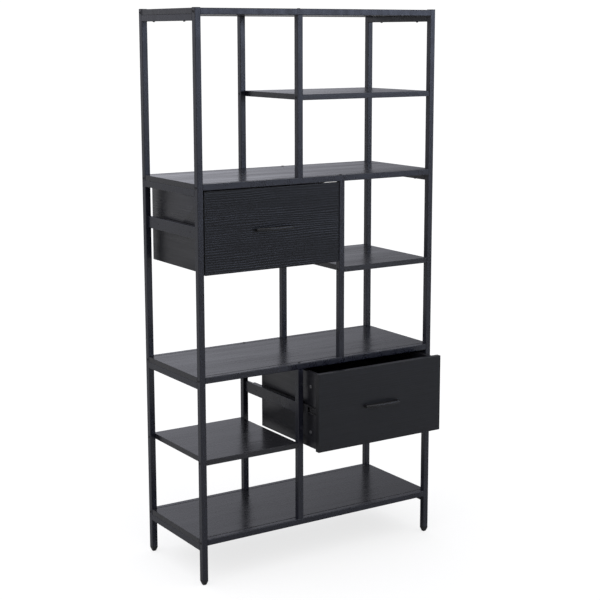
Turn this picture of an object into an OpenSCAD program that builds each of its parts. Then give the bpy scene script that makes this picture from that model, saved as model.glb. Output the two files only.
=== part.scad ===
// Open bookcase: a black square-tube frame with full-width boards, three half-width
// shelves and two drawers that hang from side bars on ball-bearing slides.
// X runs across the front, Y from front to back, Z up. The origin is on the floor, half
// way across the case and half way between the lower drawer's handle and the back.

/* [Case] */
// Overall width across the posts
case_w = 900; // [800:10:1200]
// Overall depth across the posts
case_d = 370; // [340:5:450]
// Overall height from the floor to the post caps
case_h = 1800; // [1760:10:2000]
// Distance from an outer side to the near face of a divider post
divider_x = 360; // [300:5:380]

/* [Levels] */
// Height of the bottom shelf surface
bottom_z = 150; // [100:5:160]
// Height of the middle shelf surface
middle_z = 675; // [670:5:700]
// Height of the upper shelf surface
upper_z = 1275; // [1270:5:1300]
// Height of the bottom half-width shelf above the bottom shelf
lower_small_rise = 260; // [200:5:300]
// Height of the middle half-width shelf above the middle shelf
middle_small_rise = 300; // [200:5:310]
// Height of the top half-width shelf above the upper shelf
upper_small_rise = 260; // [200:5:300]

/* [Materials] */
// Outer side of the square steel tube
tube = 20; // [18:1:25]
// Wall thickness of the steel tube
wall = 1.5; // [1:0.1:2]
// Outer corner radius of the steel tube
corner_r = 2; // [1.6:0.1:4]
// Thickness of the shelf boards
board_t = 18; // [15:1:18]
// Gap between a board's long edges and the cross rails
board_gap = 2; // [1:0.5:4]

/* [Drawers] */
// How far the lower drawer stands open at rest
lower_open = 85; // [0:5:200]
// Height of a drawer front
front_h = 258; // [220:2:270]
// Thickness of a drawer front
front_t = 18; // [15:1:20]
// Gap round a drawer front
front_gap = 3; // [2:0.5:5]
// Thickness of the drawer box sides and back
box_t = 15; // [12:1:18]
// Width of the space taken by one drawer slide
slide_w = 13; // [12.7:0.1:14]
// Distance between the two handle screws
handle_pitch = 128; // [96:32:160]

/* [Hidden] */
$fn = 32;

FRAME_BLACK = "#2b2c30";
BOARD_BLACK = "#3a3a3e";
DRAWER_BLACK = "#26272a";
PLASTIC_BLACK = "#18181a";
ZINC = "#a7a9ac";
SLIDE_BLACK = "#1c1d1f";

// Posts, caps and feet
cap_t = 1.5;
cap_stem = 6;
foot_stem = 16;
plug_len = 14;
foot_h = 18;
foot_taper_h = 14;
foot_tip = 10;
top_z = case_h - cap_t;
levels = [top_z, upper_z, middle_z, bottom_z];

// Half-width shelves
upper_small_z = upper_z + upper_small_rise;
middle_small_z = middle_z + middle_small_rise;
lower_small_z = bottom_z + lower_small_rise;
small_inset = 2;
shelf_bolt_bite = 30;

// Side rails carry the boards, so their tops are one board below the shelf surface
side_rail_len = case_d - 2 * tube;
board_screw_spread = 200;
board_screw_bite = 12;
board_end_inset = 1;

// Bolts and screws that hold the frame together; close_fit is what a bore adds to a diameter
close_fit = 0.1;
bolt_d = 6;
bolt_hole_d = bolt_d + close_fit;
bolt_head_d = 11;
bolt_head_top_d = 8;
bolt_head_h = 1.5;
bolt_socket_d = 4.6;
bolt_bite = 12;
screw_d = 4;
screw_hole_d = screw_d + close_fit;
screw_head_d = 9;
screw_head_top_d = 5;
screw_head_h = 2.4;

// Divider posts: the middle pair mirrors the pairs above and below it
near_x = divider_x;
far_x = case_w - divider_x - tube;
front_y = 0;
back_y = case_d - tube;

// Drawer openings
slot_w = case_w - divider_x - 2 * tube;
panel_w = slot_w - 2 * front_gap;
box_w = slot_w - 2 * slide_w;
inner_w = box_w - 2 * box_t;
box_end_y = case_d - 4;
box_back_y = box_end_y - box_t;
box_low_z = 2;
box_high_z = front_h - 6;
bottom_t = 5;
bottom_z_in_box = 12;
groove = 5;
groove_play = 0.1;
back_screw_inset = 40;
back_screw_bite = 28;
back_screw_hole = 30;
upper_drawer_x = tube + slot_w / 2;
lower_drawer_x = case_w - tube - slot_w / 2;
upper_drawer_z = upper_z - tube - front_gap - front_h;
lower_drawer_z = middle_z - tube - front_gap - front_h;

// Cam fittings that pull the sides against the drawer front
cam_d = 12;
cam_depth = 10;
cam_setback = 44;
cam_spread = 152;
cam_play = 0.1;
cam_slot_w = 1.4;
cam_slot_len = 7;
cam_slot_h = 1;
cam_bolt_d = 5;
cam_bolt_bite = 10;

// Handle: a bow that stands out most and is tallest in the middle, on two round legs
handle_reach = 27;
handle_end_reach = 15;
handle_t = 6;
handle_mid_h = 12;
handle_end_h = 9;
handle_leg_d = 9;
handle_len = handle_pitch + handle_leg_d;
handle_screw_d = 4;
handle_screw_play = 0.5;
handle_screw_bite = 9;
handle_screw_head_d = 8;
handle_screw_head_h = 2;

// Slides: three nested steel channels, each 1.2 mm sheet
bar_h = 38;
bar_t = 12;
steel = 1.2;
outer_h = 35;
outer_lip_x = 9.6;
middle_h = 27.2;
middle_x = 2.4;
middle_lip_x = 9.8;
inner_h = 21.2;
inner_x = 5;
outer_y = front_t + 2;
middle_y = front_t + 4;
inner_y = front_t + 1;
outer_len = 300;
middle_len = 290;
inner_len = 300;
slide_screw_ends = 44;
slide_screw_d = 3.5;
slide_hole_d = slide_screw_d + close_fit;
slide_screw_head_d = 7;
slide_screw_head_t = 0.8;
slide_screw_bite = 10;
bar_screw_bite = 4;

// Everything is drawn from the foot of the front left post, then moved to the origin
module in_case() {
    front_reach = lower_open + handle_reach;
    translate([-case_w / 2, (front_reach - case_d) / 2, 0]) children();
}

// ---- steel tube -----------------------------------------------------------

// Rectangle with round corners, one corner of its frame at the origin
module round_rect(w, h, r) {
    translate([r, 0]) square([w - 2 * r, h]);
    translate([0, r]) square([w, h - 2 * r]);
    for (x = [r, w - r]) {
        for (y = [r, h - r]) {
            translate([x, y]) circle(r = r);
        }
    }
}

// Solid bar with the tube's own outline, drawn in by the inset
module tube_core(length, inset) {
    side = tube - 2 * inset;
    translate([inset, inset, 0]) linear_extrude(length) round_rect(side, side, corner_r - inset);
}

// Square tube along Z; closed inside each end by a plug with a threaded bore
module tube_z(length, plugged = false) {
    difference() {
        tube_core(length, 0);
        if (plugged) {
            translate([0, 0, plug_len]) tube_core(length - 2 * plug_len, wall);
            for (z = [-1, length - plug_len - 1]) {
                translate([tube / 2, tube / 2, z]) cylinder(d = bolt_hole_d, h = plug_len + 2);
            }
        } else {
            translate([0, 0, -1]) tube_core(length + 2, wall);
        }
    }
}

// The same tube along X, with the same corner at the origin
module tube_x(length, plugged = false) {
    translate([0, 0, tube]) rotate([0, 90, 0]) tube_z(length, plugged);
}

// The same tube along Y
module tube_y(length) {
    translate([0, length, 0]) rotate([90, 0, 0]) tube_z(length);
}

// Through holes along X in a corner post, at the given heights
module post_holes(heights) {
    for (z = heights) {
        translate([-1, tube / 2, z]) rotate([0, 90, 0]) cylinder(d = bolt_hole_d, h = tube + 2);
    }
}

function rail_bolt_z() = [for (z = levels) z - tube / 2];
function left_post_holes() = concat(rail_bolt_z(), [lower_small_z - board_t / 2]);
function right_post_holes() = concat(
    rail_bolt_z(), [upper_small_z - board_t / 2, middle_small_z - board_t / 2]);

module corner_post(x, y, heights) {
    color(FRAME_BLACK) in_case() translate([x, y, 0]) difference() {
        translate([0, 0, foot_h]) tube_z(case_h - cap_t - foot_h);
        post_holes(heights);
    }
}

module divider_post(x, y, low, high, heights) {
    color(FRAME_BLACK) in_case() translate([x, y, 0]) difference() {
        translate([0, 0, low]) tube_z(high - tube - low, plugged = true);
        post_holes(heights);
    }
}

// Cross rail between two corner posts, drilled for the divider bolts
module cross_rail(y, level, drilled_x) {
    color(FRAME_BLACK) in_case() difference() {
        translate([tube, y, level - tube]) tube_x(case_w - 2 * tube, plugged = true);
        for (x = drilled_x) {
            translate([x + tube / 2, y + tube / 2, level - tube - 1])
                cylinder(d = bolt_hole_d, h = tube + 2);
        }
    }
}

function board_screw_y() = [
    case_d / 2 - board_screw_spread / 2, case_d / 2 + board_screw_spread / 2
];

// Two rails that join the front and back posts under one board
module side_rails(level) {
    color(FRAME_BLACK) in_case() for (x = [0, case_w - tube]) {
        difference() {
            translate([x, tube, level - board_t - tube]) tube_y(side_rail_len);
            for (y = board_screw_y()) {
                translate([x + tube / 2, y, level - board_t - tube - 1])
                    cylinder(d = screw_hole_d, h = tube + 2);
            }
        }
    }
}

// Flat bar between a front and a back post; a drawer slide is screwed to its face at
// slide_face. side is 1 when the drawer is on the bar's +X side, -1 when on its -X side
module slide_bar(slide_face, side, drawer_z) {
    x = side > 0 ? slide_face - bar_t : slide_face;
    z = drawer_z + front_h / 2 - bar_h / 2;
    color(FRAME_BLACK) in_case() difference() {
        translate([x, tube + side_rail_len, z]) rotate([90, 0, 0])
            linear_extrude(side_rail_len) round_rect(bar_t, bar_h, corner_r);
        translate([x + wall, tube - 1, z + wall])
            cube([bar_t - 2 * wall, side_rail_len + 2, bar_h - 2 * wall]);
        for (y = outer_screw_y()) {
            translate([slide_face - side * bar_t / 2, y, z + bar_h / 2]) rotate([0, 90, 0])
                cylinder(d = slide_hole_d, h = bar_t, center = true);
        }
    }
}

// ---- boards -----------------------------------------------------------------

// Full-width board between the cross rails, lying on the side rails
module main_board(level) {
    y = tube + board_gap;
    color(BOARD_BLACK) in_case() difference() {
        translate([board_end_inset, y, level - board_t])
            cube([case_w - 2 * board_end_inset, case_d - 2 * y, board_t]);
        for (x = [tube / 2, case_w - tube / 2]) {
            for (sy = board_screw_y()) {
                translate([x, sy, level - board_t - 1])
                    cylinder(d = screw_hole_d, h = board_screw_bite + 1.5);
            }
        }
    }
}

// Half-width shelf between a corner pair and a divider pair, bored in its ends
module small_shelf(x_low, x_high, z) {
    color(BOARD_BLACK) in_case() difference() {
        translate([x_low, small_inset, z - board_t])
            cube([x_high - x_low, case_d - 2 * small_inset, board_t]);
        for (y = [front_y + tube / 2, back_y + tube / 2]) {
            for (x = [x_low - 1, x_high - shelf_bolt_bite - 0.5]) {
                translate([x, y, z - board_t / 2]) rotate([0, 90, 0])
                    cylinder(d = bolt_hole_d, h = shelf_bolt_bite + 1.5);
            }
        }
    }
}

// ---- plastic ends -------------------------------------------------------------

module post_corners() {
    for (x = [0, case_w - tube]) {
        for (y = [front_y, back_y]) {
            translate([x, y, 0]) children();
        }
    }
}

module post_caps() {
    color(PLASTIC_BLACK) in_case() post_corners() {
        translate([0, 0, case_h - cap_t]) tube_core(cap_t, 0);
        translate([0, 0, case_h - cap_t - cap_stem]) tube_core(cap_stem, wall);
    }
}

// Side outline of a foot: upright, then drawn in to the tip
module foot_outline() {
    inset = (tube - foot_tip) / 2;
    polygon([
        [inset, 0], [tube - inset, 0], [tube, foot_taper_h], [tube, foot_h],
        [0, foot_h], [0, foot_taper_h]
    ]);
}

module foot_plugs() {
    color(PLASTIC_BLACK) in_case() post_corners() {
        intersection() {
            translate([0, tube, 0]) rotate([90, 0, 0]) linear_extrude(tube) foot_outline();
            rotate([90, 0, 90]) linear_extrude(tube) foot_outline();
            tube_core(foot_h, 0);
        }
        translate([0, 0, foot_h]) tube_core(foot_stem, wall);
    }
}

// ---- bolts and screws -----------------------------------------------------------

// Low domed bolt along +Z: the head's underside is at z = 0, with a hexagon socket
module bolt(length) {
    difference() {
        union() {
            cylinder(d = bolt_d, h = length);
            translate([0, 0, -bolt_head_h])
                cylinder(d1 = bolt_head_top_d, d2 = bolt_head_d, h = bolt_head_h);
        }
        translate([0, 0, -bolt_head_h - 1])
            cylinder(d = bolt_socket_d, h = bolt_head_h + 2, $fn = 6);
    }
}

// A bolt that enters along +X or -X at a post's outer face
module bolt_x(x, y, z, direction, length) {
    translate([x, y, z]) rotate([0, direction * 90, 0]) bolt(length);
}

// Bolts through the corner posts into the ends of the cross rails
module rail_bolts() {
    color(FRAME_BLACK) in_case() for (z = rail_bolt_z()) {
        for (y = [front_y, back_y]) {
            bolt_x(0, y + tube / 2, z, 1, tube + bolt_bite);
            bolt_x(case_w, y + tube / 2, z, -1, tube + bolt_bite);
        }
    }
}

// Bolts down or up through a cross rail into the end of a divider post
module divider_bolts() {
    length = tube + bolt_bite;
    module pair(x, low, high) {
        for (y = [front_y, back_y]) {
            translate([x + tube / 2, y + tube / 2, low - tube]) bolt(length);
            translate([x + tube / 2, y + tube / 2, high]) rotate([180, 0, 0]) bolt(length);
        }
    }
    color(FRAME_BLACK) in_case() {
        pair(near_x, upper_z, top_z);
        pair(far_x, middle_z, upper_z);
        pair(near_x, bottom_z, middle_z);
    }
}

// Bolts through the posts into the ends of the half-width shelves
module small_shelf_bolts() {
    length = tube + shelf_bolt_bite;
    module ends(x_low, x_high, z) {
        for (y = [front_y, back_y]) {
            bolt_x(x_low - tube, y + tube / 2, z - board_t / 2, 1, length);
            bolt_x(x_high + tube, y + tube / 2, z - board_t / 2, -1, length);
        }
    }
    color(FRAME_BLACK) in_case() {
        ends(near_x + tube, case_w - tube, upper_small_z);
        ends(far_x + tube, case_w - tube, middle_small_z);
        ends(tube, near_x, lower_small_z);
    }
}

// Screws up through the side rails into the boards
module board_screws() {
    color(FRAME_BLACK) in_case() for (level = levels) {
        for (x = [tube / 2, case_w - tube / 2]) {
            for (y = board_screw_y()) {
                translate([x, y, level - board_t - tube]) {
                    cylinder(d = screw_d, h = tube + board_screw_bite);
                    translate([0, 0, -screw_head_h])
                        cylinder(d1 = screw_head_top_d, d2 = screw_head_d, h = screw_head_h);
                }
            }
        }
    }
}

// Thin-headed slide screw along +X from the origin
module slide_screw(bite) {
    rotate([0, 90, 0]) {
        cylinder(d = slide_screw_d, h = bite);
        translate([0, 0, -slide_screw_head_t])
            cylinder(d = slide_screw_head_d, h = slide_screw_head_t);
    }
}

// ---- slides ---------------------------------------------------------------------

function outer_screw_y() = [
    outer_y + slide_screw_ends, outer_y + outer_len - slide_screw_ends
];
function inner_screw_y() = [
    inner_y + slide_screw_ends, inner_y + inner_len - slide_screw_ends
];

// Channel open towards +X, centred on z = 0, from x0 to x1, length along Y
module channel(x0, x1, height, length) {
    translate([x0, 0, -height / 2]) difference() {
        cube([x1 - x0, length, height]);
        translate([steel, -1, steel]) cube([x1 - x0, length + 2, height - 2 * steel]);
    }
}

// Puts a slide profile on both sides of a drawer opening. Its x = 0 is the face of the
// post, x = slide_w is the drawer side
module both_slides(drawer_x, drawer_z) {
    z = drawer_z + front_h / 2;
    translate([drawer_x - slot_w / 2, 0, z]) children();
    translate([drawer_x + slot_w / 2, 0, z]) mirror([1, 0, 0]) children();
}

module slide_outer(drawer_x, drawer_z) {
    color(SLIDE_BLACK) in_case() both_slides(drawer_x, drawer_z) difference() {
        translate([0, outer_y, 0]) channel(0, outer_lip_x, outer_h, outer_len);
        for (y = outer_screw_y()) {
            translate([-1, y, 0]) rotate([0, 90, 0]) cylinder(d = slide_hole_d, h = steel + 2);
        }
    }
}

module slide_middle(drawer_x, drawer_z, open) {
    color(SLIDE_BLACK) in_case() both_slides(drawer_x, drawer_z)
        translate([0, middle_y - open / 2, 0])
            channel(middle_x, middle_lip_x, middle_h, middle_len);
}

module slide_inner(drawer_x, drawer_z, open) {
    color(SLIDE_BLACK) in_case() translate([0, -open, 0])
        both_slides(drawer_x, drawer_z) difference() {
            translate([slide_w, inner_y, 0]) mirror([1, 0, 0])
                channel(0, slide_w - inner_x, inner_h, inner_len);
            for (y = inner_screw_y()) {
                translate([slide_w - steel - 1, y, 0]) rotate([0, 90, 0])
                    cylinder(d = slide_hole_d, h = steel + 2);
            }
        }
}

module slide_bar_screws() {
    color(SLIDE_BLACK) in_case() {
        for (place = [[upper_drawer_x, upper_drawer_z], [lower_drawer_x, lower_drawer_z]]) {
            both_slides(place[0], place[1]) for (y = outer_screw_y()) {
                translate([steel, y, 0]) mirror([1, 0, 0]) slide_screw(steel + bar_screw_bite);
            }
        }
    }
}

// ---- drawers ----------------------------------------------------------------------

// Drawer parts are drawn with x = 0 at the drawer's centre, y = 0 at the front's face
// and z = 0 at the front's lower edge
module in_drawer(drawer_x, drawer_z, open) {
    in_case() translate([drawer_x, -open, drawer_z]) children();
}

function cam_z() = [front_h / 2 - cam_spread / 2, front_h / 2 + cam_spread / 2];

// Blind hole for the cam bolts in the front and in the end of a side
module cam_bolt_holes() {
    for (side = [-1, 1]) {
        for (z = cam_z()) {
            translate([side * (box_w / 2 - box_t / 2), front_t - cam_bolt_bite, z])
                rotate([-90, 0, 0])
                    cylinder(d = cam_bolt_d + close_fit, h = cam_bolt_bite + cam_setback);
        }
    }
}

// Groove that holds the thin bottom, cut round the inside of the box
module bottom_groove() {
    reach = groove + groove_play;
    translate([-inner_w / 2 - reach, front_t - reach, bottom_z_in_box - groove_play])
        cube([
            inner_w + 2 * reach, box_back_y - front_t + 2 * reach, bottom_t + 2 * groove_play
        ]);
}

module drawer_front(drawer_x, drawer_z, open) {
    color(DRAWER_BLACK) in_drawer(drawer_x, drawer_z, open) difference() {
        translate([-panel_w / 2, 0, 0]) cube([panel_w, front_t, front_h]);
        cam_bolt_holes();
        bottom_groove();
        for (x = [-handle_pitch / 2, handle_pitch / 2]) {
            translate([x, -1, front_h / 2]) rotate([-90, 0, 0])
                cylinder(d = handle_screw_d + handle_screw_play, h = front_t + 2);
        }
    }
}

// side is -1 for the left side, 1 for the right side
module drawer_side(drawer_x, drawer_z, open, side) {
    color(DRAWER_BLACK) in_drawer(drawer_x, drawer_z, open) difference() {
        translate([side > 0 ? inner_w / 2 : -box_w / 2, front_t, box_low_z])
            cube([box_t, box_end_y - front_t, box_high_z - box_low_z]);
        cam_bolt_holes();
        bottom_groove();
        for (z = cam_z()) {
            translate([side * (box_w / 2 - cam_depth / 2 + 0.5), front_t + cam_setback, z])
                rotate([0, 90, 0])
                    cylinder(d = cam_d + 2 * cam_play, h = cam_depth + 1, center = true);
        }
        for (y = inner_screw_y()) {
            translate([side * (box_w / 2 - slide_screw_bite / 2 + 0.5), y, front_h / 2])
                rotate([0, 90, 0])
                    cylinder(d = slide_hole_d, h = slide_screw_bite + 1.5, center = true);
        }
        back_screw_holes();
    }
}

function back_screw_z() = [box_low_z + back_screw_inset, box_high_z - back_screw_inset];

// Holes for the screws that pass through the sides into the ends of the back
module back_screw_holes() {
    for (z = back_screw_z()) {
        translate([0, box_end_y - box_t / 2, z]) rotate([0, 90, 0]) difference() {
            cylinder(d = screw_hole_d, h = box_w + 2, center = true);
            cylinder(d = screw_hole_d + 2, h = inner_w - 2 * back_screw_hole, center = true);
        }
    }
}

module drawer_back(drawer_x, drawer_z, open) {
    color(DRAWER_BLACK) in_drawer(drawer_x, drawer_z, open) difference() {
        translate([-inner_w / 2, box_back_y, box_low_z])
            cube([inner_w, box_t, box_high_z - box_low_z]);
        bottom_groove();
        back_screw_holes();
    }
}

module drawer_bottom(drawer_x, drawer_z, open) {
    color(DRAWER_BLACK) in_drawer(drawer_x, drawer_z, open)
        translate([-inner_w / 2 - groove, front_t - groove, bottom_z_in_box])
            cube([inner_w + 2 * groove, box_back_y - front_t + 2 * groove, bottom_t]);
}

// Radius of the arc that rises by a height over a chord
function arc_r(chord, rise) = (chord * chord / 4 + rise * rise) / (2 * rise);

// Curved band of the handle, before it is trimmed to its outline
module handle_band() {
    r = arc_r(handle_len, handle_reach - handle_end_reach);
    intersection() {
        translate([0, r - handle_reach, -handle_mid_h]) difference() {
            cylinder(r = r, h = 2 * handle_mid_h, $fn = 360);
            translate([0, 0, -1]) cylinder(r = r - handle_t, h = 2 * handle_mid_h + 2, $fn = 360);
        }
        translate([-handle_len / 2, -handle_reach - 1, -handle_mid_h])
            cube([handle_len, handle_reach, 2 * handle_mid_h]);
    }
}

// Leaf shape seen from the front: the middle height falls to the end height
module handle_leaf() {
    module disc(side) {
        r = arc_r(handle_len, (handle_mid_h - handle_end_h) / 2);
        translate([0, 0, side * (r - handle_mid_h / 2)]) rotate([90, 0, 0])
            cylinder(r = r, h = 2 * handle_reach, $fn = 720);
    }
    intersection() {
        disc(-1);
        disc(1);
    }
}

module drawer_handle(drawer_x, drawer_z, open) {
    hole_depth = handle_screw_bite + 1;
    color(FRAME_BLACK) in_drawer(drawer_x, drawer_z, open)
        translate([0, 0, front_h / 2]) difference() {
            union() {
                intersection() {
                    handle_band();
                    handle_leaf();
                }
                for (x = [-handle_pitch / 2, handle_pitch / 2]) {
                    translate([x, 0, 0]) rotate([90, 0, 0])
                        cylinder(d = handle_leg_d, h = handle_end_reach - handle_t / 2);
                }
            }
            for (x = [-handle_pitch / 2, handle_pitch / 2]) {
                translate([x, 1, 0]) rotate([90, 0, 0])
                    cylinder(d = handle_screw_d + close_fit, h = hole_depth + 1);
            }
        }
}

// Cams with their bolts, handle screws, slide screws and back screws of one drawer
module drawer_fixings(drawer_x, drawer_z, open) {
    color(ZINC) in_drawer(drawer_x, drawer_z, open) {
        for (side = [0, 1]) {
            mirror([side, 0, 0]) {
                for (z = cam_z()) {
                    cam_set(z);
                }
                for (y = inner_screw_y()) {
                    translate([-box_w / 2 - steel, y, front_h / 2])
                        slide_screw(slide_screw_bite + steel - 0.5);
                }
                for (z = back_screw_z()) {
                    translate([-box_w / 2, box_end_y - box_t / 2, z]) rotate([0, 90, 0])
                        cylinder(d = screw_d, h = box_t + back_screw_bite);
                }
            }
        }
        for (x = [-handle_pitch / 2, handle_pitch / 2]) {
            translate([x, front_t, front_h / 2]) rotate([90, 0, 0]) {
                cylinder(d = handle_screw_d, h = front_t + handle_screw_bite);
                translate([0, 0, -handle_screw_head_h])
                    cylinder(d = handle_screw_head_d, h = handle_screw_head_h);
            }
        }
    }
}

// One cam in the outer face of the left side, and the bolt that runs to it from the front
module cam_set(z) {
    y = front_t + cam_setback;
    translate([-box_w / 2, y, z]) rotate([0, 90, 0]) difference() {
        cylinder(d = cam_d, h = cam_depth - cam_play);
        for (turn = [0, 90]) {
            rotate([0, 0, turn]) cube([cam_slot_w, cam_slot_len, 2 * cam_slot_h], center = true);
        }
    }
    translate([-box_w / 2 + box_t / 2, front_t - cam_bolt_bite + cam_play, z]) rotate([-90, 0, 0])
        cylinder(d = cam_bolt_d, h = cam_bolt_bite + cam_setback - cam_d / 2 - 2 * cam_play);
}

// ---- nodes ------------------------------------------------------------------------

corner_post(0, front_y, left_post_holes());  // front_left_post
corner_post(0, back_y, left_post_holes());  // back_left_post
corner_post(case_w - tube, front_y, right_post_holes());  // front_right_post
corner_post(case_w - tube, back_y, right_post_holes());  // back_right_post

divider_post(near_x, front_y, upper_z, top_z, [upper_small_z - board_t / 2]);  // top_divider_front_post
divider_post(near_x, back_y, upper_z, top_z, [upper_small_z - board_t / 2]);  // top_divider_back_post
divider_post(far_x, front_y, middle_z, upper_z, [middle_small_z - board_t / 2]);  // middle_divider_front_post
divider_post(far_x, back_y, middle_z, upper_z, [middle_small_z - board_t / 2]);  // middle_divider_back_post
divider_post(near_x, front_y, bottom_z, middle_z, [lower_small_z - board_t / 2]);  // bottom_divider_front_post
divider_post(near_x, back_y, bottom_z, middle_z, [lower_small_z - board_t / 2]);  // bottom_divider_back_post

cross_rail(front_y, top_z, [near_x]);  // top_front_rail
cross_rail(back_y, top_z, [near_x]);  // top_back_rail
cross_rail(front_y, upper_z, [near_x, far_x]);  // upper_front_rail
cross_rail(back_y, upper_z, [near_x, far_x]);  // upper_back_rail
cross_rail(front_y, middle_z, [near_x, far_x]);  // middle_front_rail
cross_rail(back_y, middle_z, [near_x, far_x]);  // middle_back_rail
cross_rail(front_y, bottom_z, [near_x]);  // bottom_front_rail
cross_rail(back_y, bottom_z, [near_x]);  // bottom_back_rail

side_rails(top_z);  // top_side_rails
side_rails(upper_z);  // upper_side_rails
side_rails(middle_z);  // middle_side_rails
side_rails(bottom_z);  // bottom_side_rails

slide_bar(tube, 1, upper_drawer_z);  // upper_left_slide_bar
slide_bar(far_x, -1, upper_drawer_z);  // upper_right_slide_bar
slide_bar(near_x + tube, 1, lower_drawer_z);  // lower_left_slide_bar
slide_bar(case_w - tube, -1, lower_drawer_z);  // lower_right_slide_bar

main_board(top_z);  // top_board
main_board(upper_z);  // upper_board
main_board(middle_z);  // middle_board
main_board(bottom_z);  // bottom_board

small_shelf(near_x + tube, case_w - tube, upper_small_z);  // upper_small_shelf
small_shelf(far_x + tube, case_w - tube, middle_small_z);  // middle_small_shelf
small_shelf(tube, near_x, lower_small_z);  // lower_small_shelf

post_caps();
foot_plugs();
rail_bolts();
divider_bolts();
small_shelf_bolts();
board_screws();
slide_bar_screws();

drawer_front(upper_drawer_x, upper_drawer_z, 0);  // upper_drawer_front
drawer_side(upper_drawer_x, upper_drawer_z, 0, -1);  // upper_drawer_left_side
drawer_side(upper_drawer_x, upper_drawer_z, 0, 1);  // upper_drawer_right_side
drawer_back(upper_drawer_x, upper_drawer_z, 0);  // upper_drawer_back
drawer_bottom(upper_drawer_x, upper_drawer_z, 0);  // upper_drawer_bottom
drawer_handle(upper_drawer_x, upper_drawer_z, 0);  // upper_drawer_handle
drawer_fixings(upper_drawer_x, upper_drawer_z, 0);  // upper_drawer_fixings

drawer_front(lower_drawer_x, lower_drawer_z, lower_open);  // lower_drawer_front
drawer_side(lower_drawer_x, lower_drawer_z, lower_open, -1);  // lower_drawer_left_side
drawer_side(lower_drawer_x, lower_drawer_z, lower_open, 1);  // lower_drawer_right_side
drawer_back(lower_drawer_x, lower_drawer_z, lower_open);  // lower_drawer_back
drawer_bottom(lower_drawer_x, lower_drawer_z, lower_open);  // lower_drawer_bottom
drawer_handle(lower_drawer_x, lower_drawer_z, lower_open);  // lower_drawer_handle
drawer_fixings(lower_drawer_x, lower_drawer_z, lower_open);  // lower_drawer_fixings

slide_outer(upper_drawer_x, upper_drawer_z);  // upper_slide_outer_members
slide_middle(upper_drawer_x, upper_drawer_z, 0);  // upper_slide_middle_members
slide_inner(upper_drawer_x, upper_drawer_z, 0);  // upper_slide_inner_members
slide_outer(lower_drawer_x, lower_drawer_z);  // lower_slide_outer_members
slide_middle(lower_drawer_x, lower_drawer_z, lower_open);  // lower_slide_middle_members
slide_inner(lower_drawer_x, lower_drawer_z, lower_open);  // lower_slide_inner_members
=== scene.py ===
"""Looks of the open bookcase with drawers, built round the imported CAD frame. Metres, Z up."""

import math

import bmesh
import bpy
from mathutils import Matrix, Vector


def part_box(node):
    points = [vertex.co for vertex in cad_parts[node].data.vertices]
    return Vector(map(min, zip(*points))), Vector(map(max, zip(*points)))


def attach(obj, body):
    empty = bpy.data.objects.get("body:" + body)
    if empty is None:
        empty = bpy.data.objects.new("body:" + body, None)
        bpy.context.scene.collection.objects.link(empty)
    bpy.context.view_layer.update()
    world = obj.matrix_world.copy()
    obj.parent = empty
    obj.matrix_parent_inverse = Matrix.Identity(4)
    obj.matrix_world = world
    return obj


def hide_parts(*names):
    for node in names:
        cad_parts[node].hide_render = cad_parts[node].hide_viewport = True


MM = 0.001

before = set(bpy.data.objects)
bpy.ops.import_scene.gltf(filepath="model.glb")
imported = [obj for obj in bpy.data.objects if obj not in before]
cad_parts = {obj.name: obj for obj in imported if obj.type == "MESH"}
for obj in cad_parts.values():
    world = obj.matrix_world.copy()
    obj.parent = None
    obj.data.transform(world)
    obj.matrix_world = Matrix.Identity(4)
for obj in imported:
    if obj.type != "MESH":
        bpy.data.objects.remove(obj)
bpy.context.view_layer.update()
scene = bpy.context.scene


# ---- materials ---------------------------------------------------------------------

# Most values of a noise lie between these
NOISE_LOW = 0.3
NOISE_HIGH = 0.7
# A mix node's colour sockets, found by place because other types of socket share their names
MIX_FIRST = 6
MIX_SECOND = 7
MIX_RESULT = 2


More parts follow.
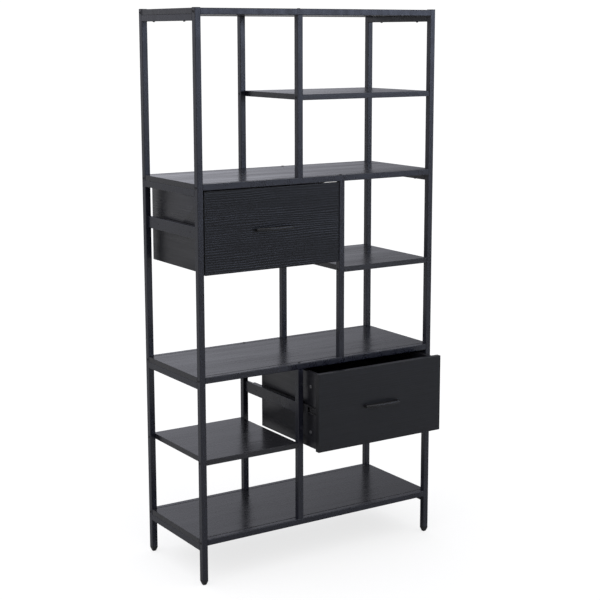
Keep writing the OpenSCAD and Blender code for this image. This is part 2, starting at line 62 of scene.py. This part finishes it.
class Shader:
    """A Principled material with small helpers to add procedural detail."""

    def __init__(self, name, colour, roughness, specular=0.5, metallic=0.0):
        self.material = bpy.data.materials.new(name)
        self.material.use_nodes = True
        self.nodes = self.material.node_tree.nodes
        self.links = self.material.node_tree.links
        self.bsdf = self.nodes["Principled BSDF"]
        self.bsdf.inputs["Base Color"].default_value = (*colour, 1.0)
        self.bsdf.inputs["Roughness"].default_value = roughness
        self.bsdf.inputs["Metallic"].default_value = metallic
        self.bsdf.inputs["Specular IOR Level"].default_value = specular
        self.coords = self.nodes.new("ShaderNodeTexCoord")

    def space(self, scale):
        """Object coordinates stretched by scale, in cycles per metre."""
        mapping = self.nodes.new("ShaderNodeMapping")
        mapping.inputs["Scale"].default_value = scale
        self.links.new(self.coords.outputs["Object"], mapping.inputs["Vector"])
        return mapping.outputs["Vector"]

    def noise(self, vector, detail=3.0, roughness=0.5, distortion=0.0):
        node = self.nodes.new("ShaderNodeTexNoise")
        node.inputs["Scale"].default_value = 1.0
        node.inputs["Detail"].default_value = detail
        node.inputs["Roughness"].default_value = roughness
        node.inputs["Distortion"].default_value = distortion
        self.links.new(vector, node.inputs["Vector"])
        return node.outputs["Fac"]

    def spread(self, value, low, high, to_low, to_high):
        """Maps the range low..high of a value to to_low..to_high, smoothly and clamped."""
        node = self.nodes.new("ShaderNodeMapRange")
        node.interpolation_type = "SMOOTHSTEP"
        node.inputs["From Min"].default_value = low
        node.inputs["From Max"].default_value = high
        node.inputs["To Min"].default_value = to_low
        node.inputs["To Max"].default_value = to_high
        self.links.new(value, node.inputs["Value"])
        return node.outputs["Result"]

    def varied(self, noise, to_low, to_high):
        """Maps the usual range of a noise to to_low..to_high."""
        return self.spread(noise, NOISE_LOW, NOISE_HIGH, to_low, to_high)

    def maths(self, operation, a, b):
        """One calculation on two values, each a number or a socket."""
        node = self.nodes.new("ShaderNodeMath")
        node.operation = operation
        for socket, value in zip(node.inputs, (a, b)):
            if isinstance(value, (int, float)):
                socket.default_value = value
            else:
                self.links.new(value, socket)
        return node.outputs["Value"]

    def across(self, along):
        """How far a point lies across the grain, in metres: the other two coordinates added."""
        split = self.nodes.new("ShaderNodeSeparateXYZ")
        self.links.new(self.coords.outputs["Object"], split.inputs["Vector"])
        others = [split.outputs[axis] for axis in range(3) if axis != along]
        return self.maths("ADD", *others)

    def waves(self, place, gap, bend, turns):
        """A wave every gap metres, from -1 to 1, pushed along by bend, which ranges over 0..1."""
        phase = self.maths("ADD", self.maths("MULTIPLY", place, 2 * math.pi / gap),
                           self.maths("MULTIPLY", bend, 2 * math.pi * turns))
        return self.maths("SINE", phase, 0.0)

    def mix(self, factor, dark, light):
        """Blends two colours; either may be a colour or a socket."""
        node = self.nodes.new("ShaderNodeMix")
        node.data_type = "RGBA"
        self.links.new(factor, node.inputs["Factor"])
        for place, value in ((MIX_FIRST, dark), (MIX_SECOND, light)):
            socket = node.inputs[place]
            if isinstance(value, tuple):
                socket.default_value = (*value, 1.0)
            else:
                self.links.new(value, socket)
        return node.outputs[MIX_RESULT]

    def sum(self, *parts):
        """Adds up sockets, each given with the weight it counts by."""
        total = None
        for value, weight in parts:
            scaled = self.maths("MULTIPLY", value, weight)
            total = scaled if total is None else self.maths("ADD", total, scaled)
        return total

    def blend(self, factor, a, b):
        """Blends two shaders by a number or a socket."""
        node = self.nodes.new("ShaderNodeMixShader")
        if isinstance(factor, float):
            node.inputs[0].default_value = factor
        else:
            self.links.new(factor, node.inputs[0])
        self.links.new(a, node.inputs[1])
        self.links.new(b, node.inputs[2])
        return node.outputs[0]

    def colour(self, socket):
        self.links.new(socket, self.bsdf.inputs["Base Color"])

    def roughness(self, socket):
        self.links.new(socket, self.bsdf.inputs["Roughness"])

    def bump(self, height, strength, distance):
        node = self.nodes.new("ShaderNodeBump")
        node.inputs["Strength"].default_value = strength
        node.inputs["Distance"].default_value = distance
        self.links.new(height, node.inputs["Height"])
        self.links.new(node.outputs["Normal"], self.bsdf.inputs["Normal"])


# How far a surface's roughness drifts to either side of its own value
SMOOTHER = 0.05
ROUGHER = 0.07


def powder_coat(name, dark, light, roughness, specular):
    """Satin powder coat: a fine orange-peel grain, faint clouding and faint handling marks."""
    shader = Shader(name, light, roughness, specular)
    cloud = shader.noise(shader.space((9, 9, 5)), detail=4.0)
    shader.colour(shader.mix(shader.varied(cloud, 0.0, 1.0), dark, light))
    rubbed = shader.noise(shader.space((30, 30, 14)), detail=6.0, roughness=0.6)
    shader.roughness(shader.varied(rubbed, roughness - SMOOTHER, roughness + ROUGHER))
    peel = shader.noise(shader.space((1400, 1400, 1400)), detail=1.0)
    shader.bump(peel, strength=0.03, distance=0.3 * MM)
    return shader.material


RING_GAP = 7.5 * MM
# How many ring gaps the bending noise can push a ring
RING_BEND = 2.6
# A pore's colour as a share of the dark colour
PORE_SHADE = 0.45
GRAIN_DEPTH = 1.2 * MM


def faced_board(name, grain, dark, light, gloss, relief, pores, rings):
    """Printed and pressed wood grain on a board. grain is the axis it runs along.

    gloss is (roughness, specular); relief how strongly the pressed grain shows; pores how dark its
    fine pores are; rings how clearly its growth rings show.
    """
    along = {"x": 0, "y": 1, "z": 2}[grain]
    roughness, specular = gloss
    shader = Shader(name, light, roughness, specular)

    def streaks(run, across, **look):
        """A noise of run cycles per metre along the grain and across cycles over it."""
        scale = tuple(run if axis == along else across for axis in range(3))
        return shader.noise(shader.space(scale), **look)

    drift = streaks(1.3, 14, detail=3.0, distortion=0.6)
    figure = streaks(3.2, 95, detail=5.0, roughness=0.62, distortion=0.5)
    fibre = streaks(18, 620, detail=3.0, roughness=0.6)
    # Growth rings: waves across the grain, bent by a noise and faded in and out by another
    bend = streaks(3.0, 22, detail=3.0, roughness=0.55)
    wave = shader.waves(shader.across(along), RING_GAP, bend, RING_BEND)
    patches = streaks(4.5, 26, detail=3.0)
    faded = shader.maths("MULTIPLY", wave, shader.spread(patches, 0.36, 0.56, 0.3, 1.0))
    ring = shader.maths("MULTIPLY", faded, rings)
    tone = shader.sum((figure, 0.6), (drift, 0.4), (ring, 0.22))
    base = shader.mix(shader.spread(tone, 0.38, 0.64, 0.0, 1.0), dark, light)
    pore = shader.maths("MULTIPLY", shader.spread(fibre, 0.30, 0.46, 1.0, 0.0), pores)
    shader.colour(shader.mix(pore, base, tuple(PORE_SHADE * c for c in dark)))
    shader.roughness(shader.spread(tone, 0.35, 0.66, roughness + ROUGHER, roughness - SMOOTHER))
    ridges = shader.sum((figure, 0.8), (fibre, 0.2), (ring, 0.6))
    shader.bump(ridges, relief, GRAIN_DEPTH)
    return shader.material


def moulded_plastic(name, colour):
    """Plastic with the fine spark texture of its mould."""
    shader = Shader(name, colour, roughness=0.5, specular=0.4)
    spark = shader.noise(shader.space((900, 900, 900)), detail=1.0)
    shader.roughness(shader.varied(spark, 0.44, 0.58))
    shader.bump(spark, strength=0.15, distance=0.3 * MM)
    return shader.material


def zinc_plate(name):
    """Bright zinc, slightly clouded."""
    shader = Shader(name, (0.62, 0.62, 0.63), roughness=0.3, metallic=1.0)
    cloud = shader.noise(shader.space((260, 260, 260)), detail=4.0)
    cover = shader.varied(cloud, 0.0, 1.0)
    shader.colour(shader.mix(cover, (0.5, 0.5, 0.51), (0.72, 0.72, 0.72)))
    shader.roughness(shader.varied(cloud, 0.24, 0.4))
    return shader.material


def rolled_steel(name):
    """Thin black coat over rolled slide steel, brushed along the travel."""
    shader = Shader(name, (0.03, 0.03, 0.032), roughness=0.34, metallic=0.35)
    streak = shader.noise(shader.space((900, 30, 900)), detail=3.0)
    cover = shader.varied(streak, 0.0, 1.0)
    shader.colour(shader.mix(cover, (0.02, 0.02, 0.022), (0.05, 0.05, 0.053)))
    shader.roughness(shader.varied(streak, 0.28, 0.42))
    shader.bump(streak, strength=0.08, distance=0.2 * MM)
    return shader.material


STEEL = powder_coat(
    "frame_coat", dark=(0.0045, 0.0050, 0.0100), light=(0.0056, 0.0064, 0.0128),
    roughness=0.28, specular=0.63)
BOLT = powder_coat(
    "bolt_coat", dark=(0.004, 0.004, 0.005), light=(0.007, 0.007, 0.008),
    roughness=0.35, specular=0.4)
HANDLE = powder_coat(
    "handle_coat", dark=(0.004, 0.004, 0.005), light=(0.007, 0.007, 0.008),
    roughness=0.24, specular=0.5)
SHELF = faced_board(
    "shelf_face", "x", dark=(0.007, 0.007, 0.009), light=(0.012, 0.012, 0.015),
    gloss=(0.24, 0.58), relief=0.010, pores=0.25, rings=0.1)
SHELF_EDGE = faced_board(
    "shelf_edge_band", "x", dark=(0.005, 0.005, 0.007), light=(0.009, 0.009, 0.012),
    gloss=(0.29, 0.64), relief=0.06, pores=0.3, rings=0.1)
DRAWER_FACE = {
    "upper": faced_board(
        "upper_drawer_face", "x", dark=(0.0030, 0.0033, 0.0043), light=(0.0070, 0.0074, 0.0094),
        gloss=(0.34, 0.34), relief=0.30, pores=0.8, rings=0.8),
    "lower": faced_board(
        "lower_drawer_face", "x", dark=(0.0034, 0.0037, 0.0047), light=(0.0070, 0.0074, 0.0092),
        gloss=(0.34, 0.42), relief=0.16, pores=0.6, rings=0.3)}
DRAWER_SIDE = faced_board(
    "drawer_side_face", "y", dark=(0.006, 0.006, 0.008), light=(0.011, 0.011, 0.014),
    gloss=(0.32, 0.66), relief=0.06, pores=0.5, rings=0.2)
DRAWER_BASE = faced_board(
    "drawer_base_face", "x", dark=(0.005, 0.005, 0.006), light=(0.009, 0.009, 0.010),
    gloss=(0.42, 0.35), relief=0.08, pores=0.4, rings=0.3)
PLASTIC = moulded_plastic("black_plastic", (0.012, 0.012, 0.013))
ZINC = zinc_plate("zinc")
SLIDE = rolled_steel("slide_coat")


# ---- pieces ------------------------------------------------------------------------

# The strongest setting: normals follow the largest face they touch, so flat faces look flat
LARGEST_FACE_WEIGHT = 100
# Radii of the eased edges
BOARD_EASE = 0.8 * MM
FRONT_EASE = 1.0 * MM
SIDE_EASE = 0.6 * MM
THIN_EASE = 0.4 * MM
EASE_SEGMENTS = 3
# A face is broad if the cosine between its normal and the board's thin direction is at least this
BROAD_COSINE = 0.5


def finish_piece(name, bm, materials, body, nodes):
    """Turns a bmesh into a piece that rides on a body and stands for the CAD nodes."""
    for face in bm.faces:
        face.smooth = True
    mesh = bpy.data.meshes.new(name)
    bm.to_mesh(mesh)
    bm.free()
    for material in materials:
        mesh.materials.append(material)
    piece = bpy.data.objects.new(name, mesh)
    scene.collection.objects.link(piece)
    weighted = piece.modifiers.new("even_shading", "WEIGHTED_NORMAL")
    weighted.weight = LARGEST_FACE_WEIGHT
    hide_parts(*nodes)
    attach(piece, body)
    return piece


def add_board(bm, low, high, radius):
    """A board with eased edges. The eased edges and narrow faces use the second material."""
    made = bmesh.ops.create_cube(bm, size=1.0)
    size = high - low
    centre = (low + high) / 2
    for vertex in made["verts"]:
        vertex.co = Vector((vertex.co[i] * size[i] + centre[i] for i in range(3)))
    edges = list({edge for vertex in made["verts"] for edge in vertex.link_edges})
    eased = bmesh.ops.bevel(
        bm, geom=edges, offset=radius, segments=EASE_SEGMENTS, profile=0.5, affect="EDGES")
    for face in eased["faces"]:
        face.material_index = 1
    thin = min(range(3), key=lambda i: size[i])
    for face in bm.faces:
        if abs(face.normal[thin]) < BROAD_COSINE:
            face.material_index = 1


def board(node, body, surface, band=None, radius=BOARD_EASE):
    """A CAD board as a piece with eased edges. Its narrow faces may have a band of their own."""
    low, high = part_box(node)
    bm = bmesh.new()
    add_board(bm, Vector(low), Vector(high), radius)
    return finish_piece("show_" + node, bm, [surface, band or surface], body, [node])


for node in ("top_board", "upper_board", "middle_board", "bottom_board",
             "upper_small_shelf", "middle_small_shelf", "lower_small_shelf"):
    board(node, "frame", SHELF, SHELF_EDGE)


CAM_RADIUS = 6.1 * MM
CAM_DEPTH = 10 * MM
CAM_BEHIND_FRONT = 62 * MM
CAM_SPREAD = 152 * MM
CAM_SEGMENTS = 32


def bore_sideways(piece, places, radius, length):
    """Cuts round holes along X, each centred at a place and running length in all."""
    turn = Matrix.Rotation(math.pi / 2, 4, "Y")
    bm = bmesh.new()
    for place in places:
        bmesh.ops.create_cone(
            bm, cap_ends=True, segments=CAM_SEGMENTS, radius1=radius, radius2=radius,
            depth=length, matrix=Matrix.Translation(place) @ turn)
    mesh = bpy.data.meshes.new("cutter")
    bm.to_mesh(mesh)
    bm.free()
    cutter = bpy.data.objects.new("cutter", mesh)
    scene.collection.objects.link(cutter)
    boolean = piece.modifiers.new("holes", "BOOLEAN")
    boolean.operation = "DIFFERENCE"
    boolean.solver = "EXACT"
    boolean.object = cutter
    bpy.context.view_layer.update()
    evaluated = piece.evaluated_get(bpy.context.evaluated_depsgraph_get())
    cut = bpy.data.meshes.new_from_object(evaluated)
    piece.modifiers.clear()
    piece.data = cut
    bpy.data.objects.remove(cutter)


def drawer_box(which):
    """Front, sides, back and bottom of one drawer, with the cam holes in its sides."""
    body = which + "_drawer"
    name = body + "_"
    board(name + "front", body, DRAWER_FACE[which], radius=FRONT_EASE)
    board(name + "back", body, DRAWER_BASE)
    board(name + "bottom", body, DRAWER_BASE, radius=THIN_EASE)
    front_low, front_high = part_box(name + "front")
    mid_z = (front_low[2] + front_high[2]) / 2
    for side, sign in (("left_side", -1), ("right_side", 1)):
        piece = board(name + side, body, DRAWER_SIDE, radius=SIDE_EASE)
        low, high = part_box(name + side)
        face_x = low[0] if sign < 0 else high[0]
        places = [
            Vector((face_x, front_low[1] + CAM_BEHIND_FRONT, mid_z + half * CAM_SPREAD / 2))
            for half in (-1, 1)]
        bore_sideways(piece, places, CAM_RADIUS, 2 * CAM_DEPTH)


HANDLE_END_REACH = 15 * MM
HANDLE_THICK = 6 * MM
HANDLE_END_HEIGHT = 9 * MM
HANDLE_LEG_RADIUS = 4.5 * MM
# Share of the handle's half length over which each end is rounded off
HANDLE_END_ROUND = 0.045
# The section at the very tip, as a share of the full one; it can't shrink to nothing
HANDLE_TIP = 0.02
HANDLE_STATIONS = 48
HANDLE_SEGMENTS = 24
# 1 gives an oval section, a smaller number a squarer one
HANDLE_SECTION = 0.6
# A leg from the drawer to the bow: how far out each ring is, and its share of the leg's radius
HANDLE_LEG = ((0, 1.0), (1 * MM, 1.0), (3 * MM, 0.86), (9 * MM, 0.84), (12 * MM, 0.92))


def skin(bm, rings):
    """Joins neighbouring rings of vertices by faces and closes both ends."""
    for a, b in zip(rings, rings[1:]):
        for k in range(len(a)):
            n = (k + 1) % len(a)
            bm.faces.new((a[k], a[n], b[n], b[k]))
    bm.faces.new(rings[0])
    bm.faces.new(rings[-1])


def squared(value):
    """A cosine or sine pushed outward, which turns an oval towards a rectangle."""
    return math.copysign(abs(value) ** HANDLE_SECTION, value)


def handle(which):
    """Bow handle: a rounded band, tallest and furthest out in the middle, on two legs."""
    node = which + "_drawer_handle"
    low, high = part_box(node)
    mid_x = (low[0] + high[0]) / 2
    mid_z = (low[2] + high[2]) / 2
    half = (high[0] - low[0]) / 2
    face_y = high[1]
    reach = face_y - low[1]
    mid_height = high[2] - low[2]
    angles = [2 * math.pi * k / HANDLE_SEGMENTS for k in range(HANDLE_SEGMENTS)]
    bm = bmesh.new()
    rings = []
    for i in range(HANDLE_STATIONS + 1):
        # t runs from -1 at one end of the bow to 1 at the other, closer together at the ends
        t = -math.cos(math.pi * i / HANDLE_STATIONS)
        out = reach - (reach - HANDLE_END_REACH) * t * t
        tall = mid_height - (mid_height - HANDLE_END_HEIGHT) * t * t
        past = max(0.0, (abs(t) - 1 + HANDLE_END_ROUND) / HANDLE_END_ROUND)
        shrink = max(HANDLE_TIP, math.sqrt(max(0.0, 1 - past ** 2)))
        middle_y = face_y - out + HANDLE_THICK / 2
        rings.append([
            bm.verts.new((mid_x + t * half,
                          middle_y + squared(math.cos(angle)) * HANDLE_THICK / 2 * shrink,
                          mid_z + squared(math.sin(angle)) * tall / 2 * shrink))
            for angle in angles])
    skin(bm, rings)
    for sign in (-1, 1):
        leg_x = mid_x + sign * (half - HANDLE_LEG_RADIUS)
        rings = []
        for out, share in HANDLE_LEG:
            radius = share * HANDLE_LEG_RADIUS
            rings.append([
                bm.verts.new((leg_x + radius * math.cos(angle), face_y - out,
                              mid_z + radius * math.sin(angle)))
                for angle in angles])
        skin(bm, rings)
    bmesh.ops.recalc_face_normals(bm, faces=bm.faces)
    finish_piece("show_" + node, bm, [HANDLE], which + "_drawer", [node])


for which in ("upper", "lower"):
    drawer_box(which)
    handle(which)


def material_for(node):
    """The material of a CAD node that is shown as it is."""
    if node in ("post_caps", "foot_plugs"):
        return PLASTIC
    if node.endswith("_fixings"):
        return ZINC
    if node.endswith("_members") or node == "slide_bar_screws":
        return SLIDE
    if node.endswith(("_bolts", "_screws")):
        return BOLT
    return STEEL


for node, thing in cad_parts.items():
    if thing.hide_render:
        continue
    thing.data.materials.clear()
    thing.data.materials.append(material_for(node))


# ---- floor, light and camera -------------------------------------------------------


FLOOR_HALF = 60
FLOOR_GREY = 0.34
# How much of the floor's white is its own glow, which thins the shadows on it
FLOOR_LIFT = 0.72
FLOOR_GLOW = 1.03


def make_floor():
    bm = bmesh.new()
    bmesh.ops.create_grid(bm, x_segments=4, y_segments=4, size=FLOOR_HALF)
    mesh = bpy.data.meshes.new("studio_floor")
    bm.to_mesh(mesh)
    bm.free()
    floor = bpy.data.objects.new("studio_floor", mesh)
    scene.collection.objects.link(floor)
    # The camera sees it white and nearly free of shadow; it lights the object as a grey floor does
    grey = (FLOOR_GREY, FLOOR_GREY, FLOOR_GREY)
    shader = Shader("studio_floor", grey, roughness=0.9, specular=0.1)
    cloud = shader.noise(shader.space((0.7, 0.7, 0.7)), detail=2.0)
    cover = shader.varied(cloud, 0.0, 1.0)
    pale = shader.nodes.new("ShaderNodeBsdfDiffuse")
    shader.links.new(
        shader.mix(cover, (0.92, 0.92, 0.92), (0.95, 0.95, 0.95)), pale.inputs["Color"])
    glow = shader.nodes.new("ShaderNodeEmission")
    glow.inputs["Color"].default_value = (1.0, 1.0, 1.0, 1.0)
    glow.inputs["Strength"].default_value = FLOOR_GLOW
    lifted = shader.blend(FLOOR_LIFT, pale.outputs[0], glow.outputs[0])
    path = shader.nodes.new("ShaderNodeLightPath")
    seen = shader.blend(path.outputs["Is Camera Ray"], shader.bsdf.outputs[0], lifted)
    shader.links.new(seen, shader.nodes["Material Output"].inputs["Surface"])
    mesh.materials.append(shader.material)


def sun(name, direction, strength, angle):
    """A white sun shining along direction; the wider its angle in degrees, the softer it is."""
    data = bpy.data.lights.new(name, "SUN")
    data.energy = strength
    data.angle = math.radians(angle)
    lamp = bpy.data.objects.new(name, data)
    lamp.rotation_mode = "QUATERNION"
    lamp.rotation_quaternion = Vector(direction).to_track_quat("-Z", "Y")
    scene.collection.objects.link(lamp)


class Sky:
    """Studio surroundings: a plain white backdrop for the camera, soft panels for the light."""

    def __init__(self):
        world = bpy.data.worlds.new("studio")
        scene.world = world
        world.use_nodes = True
        self.tree = world.node_tree
        self.tree.nodes.clear()
        coords = self.tree.nodes.new("ShaderNodeTexCoord")
        self.direction = coords.outputs["Generated"]

    def node(self, kind, **inputs):
        """A new node with its inputs set to values or joined to sockets."""
        made = self.tree.nodes.new(kind)
        for key, value in inputs.items():
            socket = made.inputs[key.replace("_", " ")]
            if isinstance(value, bpy.types.NodeSocket):
                self.tree.links.new(value, socket)
            else:
                socket.default_value = value
        return made

    def towards(self, vector):
        """Cosine between the looked-at direction and a vector."""
        dot = self.tree.nodes.new("ShaderNodeVectorMath")
        dot.operation = "DOT_PRODUCT"
        self.tree.links.new(self.direction, dot.inputs[0])
        dot.inputs[1].default_value = Vector(vector).normalized()
        return dot.outputs["Value"]

    def ramp(self, value, low, high, to_low, to_high):
        """Maps the range low..high of a value to to_low..to_high, smoothly and clamped."""
        made = self.node(
            "ShaderNodeMapRange", Value=value, From_Min=low, From_Max=high,
            To_Min=to_low, To_Max=to_high)
        made.interpolation_type = "SMOOTHSTEP"
        return made.outputs["Result"]

    def tinted(self, strength, colour):
        """A colour scaled by a strength socket."""
        made = self.tree.nodes.new("ShaderNodeVectorMath")
        made.operation = "SCALE"
        made.inputs[0].default_value = colour
        self.tree.links.new(strength, made.inputs["Scale"])
        return made.outputs["Vector"]

    def product(self, a, b):
        made = self.tree.nodes.new("ShaderNodeMath")
        made.operation = "MULTIPLY"
        self.tree.links.new(a, made.inputs[0])
        self.tree.links.new(b, made.inputs[1])
        return made.outputs["Value"]

    def add(self, a, b):
        made = self.tree.nodes.new("ShaderNodeVectorMath")
        made.operation = "ADD"
        self.tree.links.new(a, made.inputs[0])
        self.tree.links.new(b, made.inputs[1])
        return made.outputs["Vector"]

    def finish(self, light, backdrop):
        """Lights the object with light, and shows the camera a plain backdrop instead."""
        lit = self.node("ShaderNodeBackground", Color=light, Strength=1.0)
        plain = self.node(
            "ShaderNodeBackground", Color=(backdrop, backdrop, backdrop, 1), Strength=1.0)
        path = self.tree.nodes.new("ShaderNodeLightPath")
        mix = self.tree.nodes.new("ShaderNodeMixShader")
        out = self.tree.nodes.new("ShaderNodeOutputWorld")
        self.tree.links.new(path.outputs["Is Camera Ray"], mix.inputs[0])
        self.tree.links.new(lit.outputs[0], mix.inputs[1])
        self.tree.links.new(plain.outputs[0], mix.inputs[2])
        self.tree.links.new(mix.outputs[0], out.inputs["Surface"])


FILL_TINT = (0.98, 0.99, 1.10)
PANEL_TINT = (3.6, 4.1, 5.5)
BACKDROP = 1.05


def make_sky():
    sky = Sky()
    height = sky.towards((0, 0, 1))
    # Soft fill: bright at the left and behind, dim at the right and in front, weaker higher up
    side = sky.towards((0.83, -0.55, 0))
    across = sky.product(
        sky.ramp(side, -0.20, 0.20, 0.94, 0.24), sky.ramp(side, -0.90, -0.40, 0.72, 1.0))
    fill = sky.product(across, sky.ramp(height, 0.02, 0.38, 1.0, 0.62))
    # A cool low panel in front and to the right
    panel = sky.ramp(sky.towards((0.70, -0.71, 0)), 0.80, 0.97, 0.0, 1.0)
    panel = sky.product(panel, sky.ramp(height, 0.00, 0.03, 0.0, 1.0))
    panel = sky.product(panel, sky.ramp(height, 0.06, 0.15, 1.0, 0.0))
    light = sky.add(sky.tinted(fill, FILL_TINT), sky.tinted(panel, PANEL_TINT))
    sky.finish(light, BACKDROP)


EYE = Vector((-2.426, -3.750, 1.722))
EYE_YAW = math.radians(32.91)
EYE_PITCH = math.radians(-9.88)
EYE_ROLL = math.radians(-0.09)
SENSOR_WIDTH = 36
LENS = 82.44
LENS_SHIFT = -0.045
NEAREST = 0.05
FURTHEST = 200


def make_camera():
    """An eye at standing height, about a third of the way round from the front to the left."""
    data = bpy.data.cameras.new("camera")
    data.sensor_width = SENSOR_WIDTH
    data.lens = LENS
    data.shift_y = LENS_SHIFT
    data.clip_start = NEAREST
    data.clip_end = FURTHEST
    flat = math.cos(EYE_PITCH)
    ahead = Vector((math.sin(EYE_YAW) * flat, math.cos(EYE_YAW) * flat, math.sin(EYE_PITCH)))
    level = ahead.cross(Vector((0, 0, 1))).normalized()
    upright = level.cross(ahead)
    right = level * math.cos(EYE_ROLL) + upright * math.sin(EYE_ROLL)
    up = upright * math.cos(EYE_ROLL) - level * math.sin(EYE_ROLL)
    camera = bpy.data.objects.new("camera", data)
    turn = Matrix((right, up, -ahead)).transposed().to_4x4()
    camera.matrix_world = Matrix.Translation(EYE) @ turn
    scene.collection.objects.link(camera)
    scene.camera = camera


make_floor()
sun("overhead", direction=(0.15, 0.25, -1.0), strength=2.8, angle=120)
make_sky()
make_camera()
scene.view_settings.view_transform = "Standard"
scene.view_settings.look = "None"
